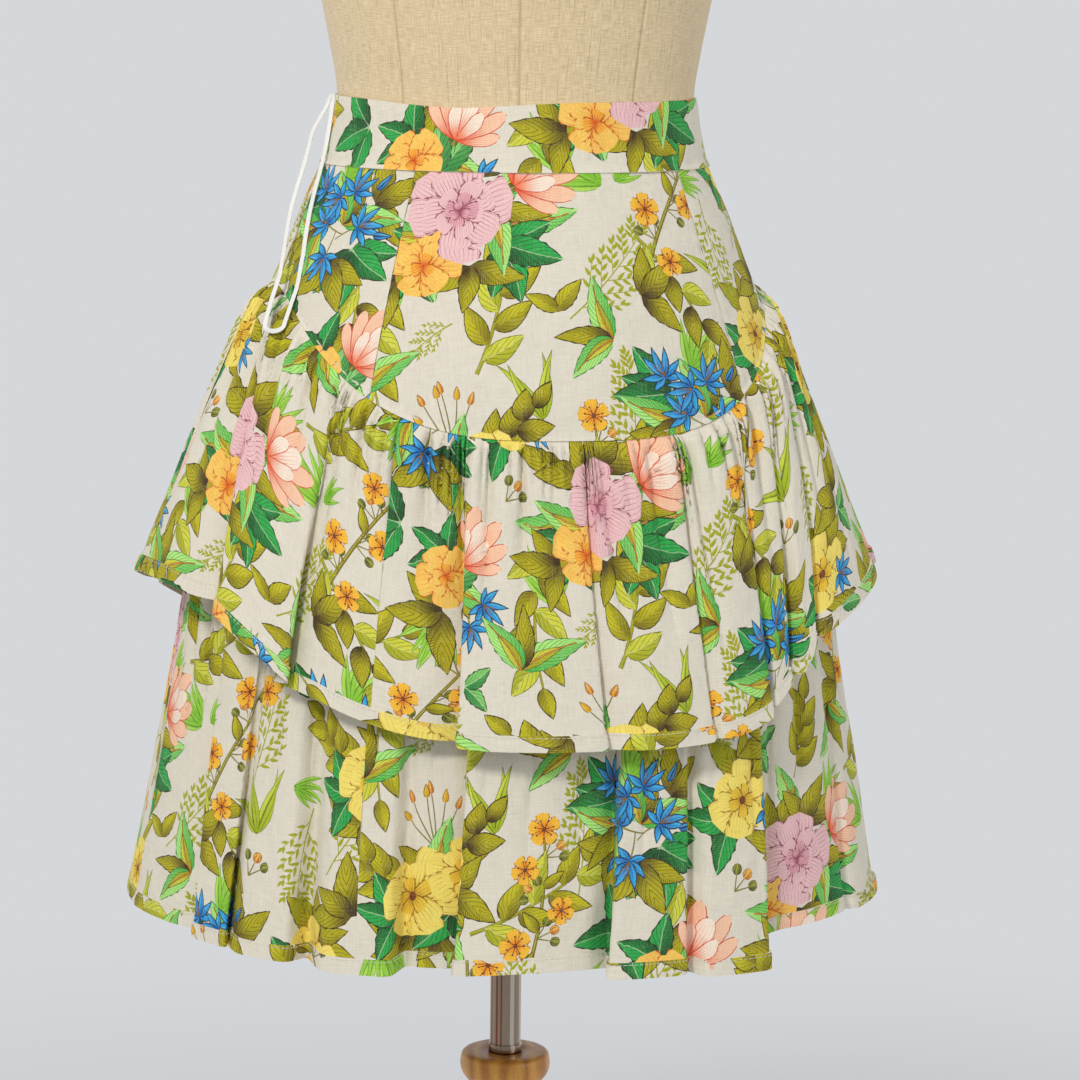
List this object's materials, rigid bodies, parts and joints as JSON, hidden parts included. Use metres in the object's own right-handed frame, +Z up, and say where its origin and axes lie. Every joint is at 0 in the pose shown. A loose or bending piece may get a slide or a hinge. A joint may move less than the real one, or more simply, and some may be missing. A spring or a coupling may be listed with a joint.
{
  "type": "pleated skirt on limbless dress form",
  "caption": "Pleated skirt with a curved yoke and two gathered tiers, worn by a limbless dress form on a steel pole and a turned wooden tripod stand.",
  "frame": {"origin": "on the floor at the middle of the object's footprint, under the pole", "axes": "+Z up the pole; the dress form faces -Y, and +X is on the right of someone who looks at its front"},
  "size_m": [0.5301, 0.4152, 1.5043],
  "materials": {
    "printed_linen": "matte woven linen with a printed flower pattern",
    "form_linen": "matte stretched beige linen cover",
    "steel": "polished",
    "beech": "satin lacquer",
    "ribbon": "smooth satin ribbon",
    "zip_metal": "nickel plated",
    "zip_tape": "woven tape"
  },
  "bodies": {
    "form_and_skirt": {"waistband_front": "printed_linen", "waistband_back_right": "printed_linen", "waistband_back_left": "printed_linen", "yoke_front_centre": "printed_linen", "yoke_front_right": "printed_linen", "yoke_front_left": "printed_linen", "yoke_back_right": "printed_linen", "yoke_back_left": "printed_linen", "underskirt_front": "printed_linen", "underskirt_back": "printed_linen", "tier_1_front_left": "printed_linen", "tier_1_front_right": "printed_linen", "tier_1_back": "printed_linen", "tier_1_hem_band": "printed_linen", "tier_2_front_left": "printed_linen", "tier_2_front_right": "printed_linen", "tier_2_back": "printed_linen", "tier_2_hem_band": "printed_linen", "form_torso": "form_linen", "pole_socket": "steel", "pole": "steel", "neck_cap": "beech", "wood_hub": "beech", "leg_1": "beech", "leg_2": "beech", "leg_3": "beech", "hanger_ribbon": "ribbon", "zip_slider": "zip_metal", "zip_chain": "zip_tape"},
    "pull_tab": {"zip_pull_tab": "zip_metal"}
  },
  "joints": [
    {"name": "pull_tab_swing", "type": "hinge", "parent": "form_and_skirt", "child": "pull_tab", "pos_m": [-0.02567, 0.09798, 1.01853], "axis": [0.9881, 0.1539, -0.0016], "range_deg": [0, 160]}
  ]
}
